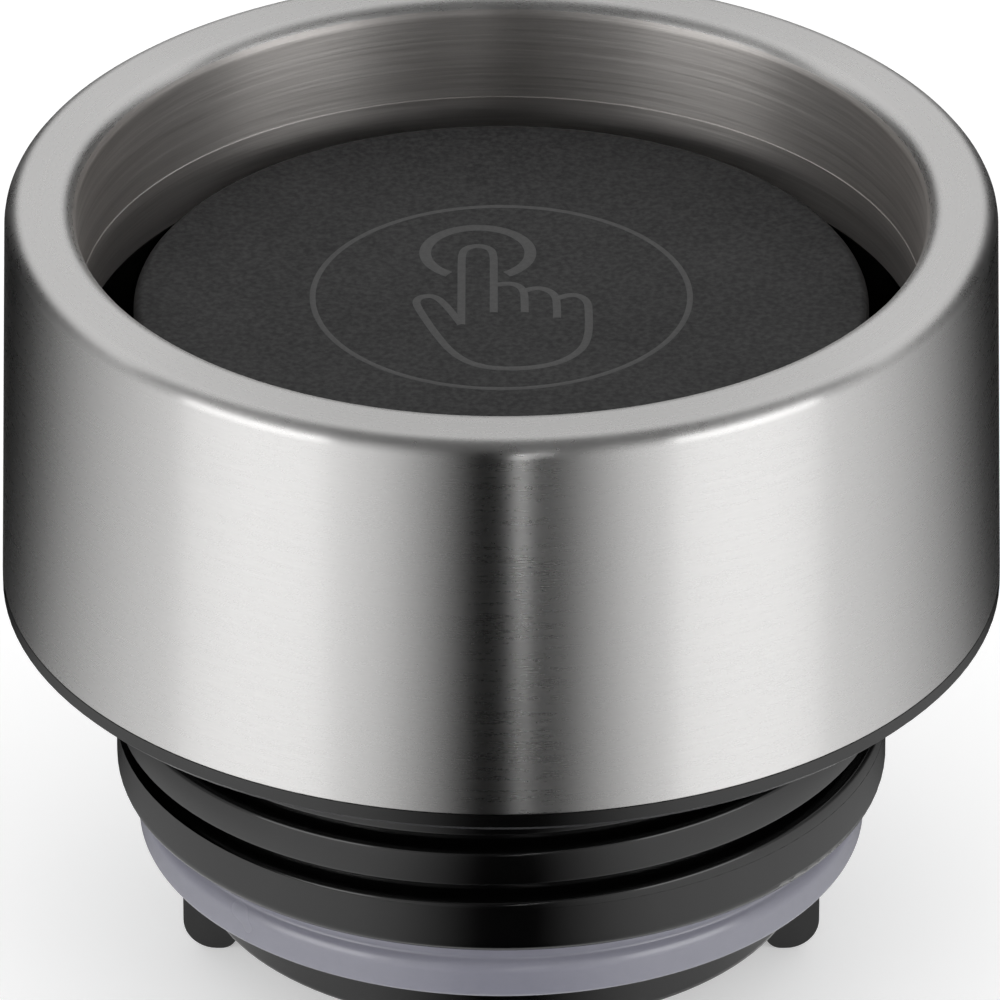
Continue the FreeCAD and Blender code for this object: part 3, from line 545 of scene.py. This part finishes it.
strokes = [print_stroke(HAND_LINE, points) for points in HAND_STROKES]
strokes += [arc_stroke(*TOUCH_RING), arc_stroke(*SIGN_CIRCLE)]
deselect()
for stroke in strokes:
    stroke.select_set(True)
sign = strokes[0]
bpy.context.view_layer.objects.active = sign
bpy.ops.object.join()
name_piece(sign, "press_sign")
finish_mesh(sign, PRINT_SMOOTH_ANGLE)
dress(sign, "plunger", [INK])


# Stage, light and camera, in metres

FLOOR_SIZE = 6.0
# Share of white that lifts the paper where it is looked at, straight or in a mirror
FLOOR_GLOW = 0.38
deselect()
bpy.ops.mesh.primitive_plane_add(size=FLOOR_SIZE)
floor = bpy.context.object
floor.name = "floor"
floor_material, tree = new_material("white_paper_sweep")
rays = add_node(tree, "ShaderNodeLightPath").outputs
straight_or_mirrored = add_node(
    tree, "ShaderNodeMath", {"operation": "MAXIMUM"},
    {0: rays["Is Camera Ray"], 1: rays["Is Glossy Ray"]})
seen = add_node(
    tree, "ShaderNodeMath", {"operation": "MAXIMUM"},
    {0: straight_or_mirrored.outputs[0], 1: rays["Is Transmission Ray"]})
glow = add_node(tree, "ShaderNodeMath", {"operation": "MULTIPLY"}, {0: seen.outputs[0], 1: FLOOR_GLOW})
paper = add_node(
    tree, "ShaderNodeBsdfPrincipled", None,
    {"Base Color": linear("EDEDED"), "Roughness": 0.9, "Emission Color": linear("FFFFFF"),
     "Emission Strength": glow.outputs[0]})
add_node(tree, "ShaderNodeOutputMaterial", None, {"Surface": paper.outputs[0]})
floor.data.materials.append(floor_material)

WORLD_STRENGTH = 0.85
world = bpy.data.worlds.new("studio")
bpy.context.scene.world = world
world.use_nodes = True
world.node_tree.nodes.clear()
sky = add_node(
    world.node_tree, "ShaderNodeBackground", None,
    {"Color": linear("FFFFFF"), "Strength": WORLD_STRENGTH})
add_node(world.node_tree, "ShaderNodeOutputWorld", None, {"Surface": sky.outputs[0]})

CENTRE = (0, 0, 0.035)


def softbox(name, place, wide, high, power, lean=0.0):
    """Oblong lamp that faces the object, leaned to one side."""
    lamp = bpy.data.lights.new(name, "AREA")
    lamp.shape = "RECTANGLE"
    lamp.size = wide
    lamp.size_y = high
    lamp.energy = power
    item = bpy.data.objects.new(name, lamp)
    bpy.context.scene.collection.objects.link(item)
    item.location = place
    facing = (Vector(CENTRE) - Vector(place)).to_track_quat("-Z", "Y")
    item.rotation_euler = (facing @ Quaternion((0, 0, 1), math.radians(-lean))).to_euler()
    item.visible_camera = False


softbox("softbox_left", place=(-1.15, -0.8, 0.28), wide=0.9, high=0.52, power=2.8)
softbox("softbox_right", place=(1.15, -0.8, 0.28), wide=0.9, high=0.52, power=2.8)
# A slim lamp for the bright spot on the rolled edge at the front
softbox("strip_front", place=(0.115, -0.9, 0.2), wide=0.012, high=0.27, power=0.12, lean=29)


def reflected_only(card, material):
    """A card that shapes what shiny surfaces show, and throws no shadow."""
    card.data.materials.append(material)
    card.visible_camera = False
    card.visible_diffuse = False
    card.visible_shadow = False
    card.visible_transmission = False


# Graded card: lies round the object and stands up as a wall, for the dark and bright bands of the skirt

# Share of the white surroundings that passes, by bearing from the front
CARD_GRADE = [
    (0, 0.0), (6.5, 0.0), (10, 0.1), (14, 0.26), (18, 0.42), (25, 0.7), (34, 0.93), (44, 1.0), (56, 1.0),
    (68, 0.88), (80, 0.74), (92, 0.56), (104, 0.36), (114, 0.18), (124, 0.06), (136, 0.0), (180, 0.0)]
# The bearing that counts as the front of the bands
CARD_LEAN = 1.6
CARD_NEAR, CARD_FAR = 0.03, 1.2
CARD_LIFT = 0.0012
CARD_SIDES = 144
# Height of the wall at the front and sides and at the back, and the bearings between which it falls
WALL_HIGH, WALL_LOW = 0.75, 0.33
FALL_FROM, FALL_TO = 146, 168

card_material, tree = new_material("graded_black_card")
card_place = add_node(tree, "ShaderNodeTexCoord").outputs["Object"]
card_axes = add_node(tree, "ShaderNodeSeparateXYZ", None, {0: card_place})
forward = add_node(
    tree, "ShaderNodeMath", {"operation": "MULTIPLY"}, {0: card_axes.outputs["Y"], 1: -1.0})
bearing = add_node(
    tree, "ShaderNodeMath", {"operation": "ARCTAN2"}, {0: card_axes.outputs["X"], 1: forward.outputs[0]})
leaned = add_node(
    tree, "ShaderNodeMath", {"operation": "SUBTRACT"},
    {0: bearing.outputs[0], 1: math.radians(CARD_LEAN)})
aside = add_node(tree, "ShaderNodeMath", {"operation": "ABSOLUTE"}, {0: leaned.outputs[0]})
share = add_node(tree, "ShaderNodeMath", {"operation": "DIVIDE"}, {0: aside.outputs[0], 1: math.pi})
ramp = add_node(tree, "ShaderNodeValToRGB", None, {"Fac": share.outputs[0]})
stops = ramp.color_ramp.elements
for index, (degrees, passed) in enumerate(CARD_GRADE):
    # a new ramp has two stops
    stop = stops[index] if index < 2 else stops.new(degrees / 180)
    stop.position = degrees / 180
    stop.color = (passed, passed, passed, 1)
clear = add_node(tree, "ShaderNodeBsdfTransparent")
shade = add_node(tree, "ShaderNodeBsdfDiffuse", None, {"Color": linear("050505")})
graded = add_node(
    tree, "ShaderNodeMixShader", None, {0: ramp.outputs[0], 1: shade.outputs[0], 2: clear.outputs[0]})
add_node(tree, "ShaderNodeOutputMaterial", None, {"Surface": graded.outputs[0]})

deselect()
bpy.ops.mesh.primitive_circle_add(vertices=CARD_SIDES, radius=CARD_NEAR, fill_type="NOTHING")
card = bpy.context.object
card.name = "graded_card"
bpy.ops.object.mode_set(mode="EDIT")
bpy.ops.mesh.select_all(action="SELECT")
bpy.ops.transform.translate(value=(0, 0, CARD_LIFT))
bpy.ops.mesh.extrude_edges_move()
wider = CARD_FAR / CARD_NEAR
bpy.ops.transform.resize(value=(wider, wider, 1), center_override=(0, 0, CARD_LIFT))
bpy.ops.mesh.extrude_edges_move(TRANSFORM_OT_translate={"value": (0, 0, WALL_HIGH)})
bpy.ops.object.mode_set(mode="OBJECT")
for vertex in card.data.vertices:
    if vertex.co.z > WALL_LOW:
        turned_back = abs(math.degrees(math.atan2(vertex.co.x, -vertex.co.y)))
        fallen = min(1.0, max(0.0, (turned_back - FALL_FROM) / (FALL_TO - FALL_FROM)))
        vertex.co.z = WALL_HIGH - (WALL_HIGH - WALL_LOW) * fallen
reflected_only(card, card_material)

# Grey card overhead, from before the object to just behind it: darkens the rolled edges and the lip

CEILING_WIDTH = 3.4
CEILING_FRONT, CEILING_BACK = -1.7, 0.25
CEILING_LEVEL = 1.05
ceiling_material, tree = new_material("grey_ceiling_card")
shade = add_node(tree, "ShaderNodeBsdfDiffuse", None, {"Color": linear("6C6C6C")})
add_node(tree, "ShaderNodeOutputMaterial", None, {"Surface": shade.outputs[0]})
deselect()
bpy.ops.mesh.primitive_plane_add(size=1.0)
ceiling = bpy.context.object
ceiling.name = "ceiling_card"
for vertex in ceiling.data.vertices:
    end = CEILING_FRONT if vertex.co.y < 0 else CEILING_BACK
    vertex.co = (vertex.co.x * CEILING_WIDTH, end, CEILING_LEVEL)
reflected_only(ceiling, ceiling_material)

# A narrow white card on the floor: the upright streak down the front of the skirt

STREAK_BEARING = 4.0
STREAK_WIDTH = 2.6
STREAK_NEAR, STREAK_FAR = 0.26, 1.15
STREAK_LIFT = 0.003
STREAK_STRENGTH = 4.4
streak_material, tree = new_material("white_streak_card")
streak_glow = add_node(
    tree, "ShaderNodeEmission", None, {"Color": linear("FFFFFF"), "Strength": STREAK_STRENGTH})
add_node(tree, "ShaderNodeOutputMaterial", None, {"Surface": streak_glow.outputs[0]})
deselect()
bpy.ops.mesh.primitive_plane_add(size=1.0)
streak = bpy.context.object
streak.name = "streak_card"
for vertex in streak.data.vertices:
    away = STREAK_FAR if vertex.co.y < 0 else STREAK_NEAR
    turned = math.radians(STREAK_BEARING + STREAK_WIDTH * vertex.co.x)
    vertex.co = (away * math.sin(turned), -away * math.cos(turned), STREAK_LIFT)
reflected_only(streak, streak_material)

# Camera at the photograph's angle, placed by the rim's middle and where that lies in the picture, in pixels

TILT = math.radians(28.5)
DISTANCE = 1.1
SENSOR_WIDTH = 36.0
IMAGE_WIDTH = 1000
FOCAL_PIXELS = 15180.0
RIM_ABOVE_MIDDLE = 299.0
RIM_RIGHT_OF_MIDDLE = 1.5
camera_data = bpy.data.cameras.new("photo_camera")
camera = bpy.data.objects.new("photo_camera", camera_data)
bpy.context.scene.collection.objects.link(camera)
bpy.context.scene.camera = camera
camera_data.sensor_width = SENSOR_WIDTH
camera_data.lens = FOCAL_PIXELS * SENSOR_WIDTH / IMAGE_WIDTH
camera_data.clip_start = 0.05
camera_data.clip_end = 20.0
camera.location = (0, -DISTANCE * math.cos(TILT), RIM_LEVEL * MM + DISTANCE * math.sin(TILT))
drop = math.atan(RIM_ABOVE_MIDDLE / FOCAL_PIXELS)
swing = math.atan(RIM_RIGHT_OF_MIDDLE / FOCAL_PIXELS)
camera.rotation_euler = (math.pi / 2 - TILT - drop, 0, swing)

bpy.context.scene.view_settings.view_transform = "Standard"
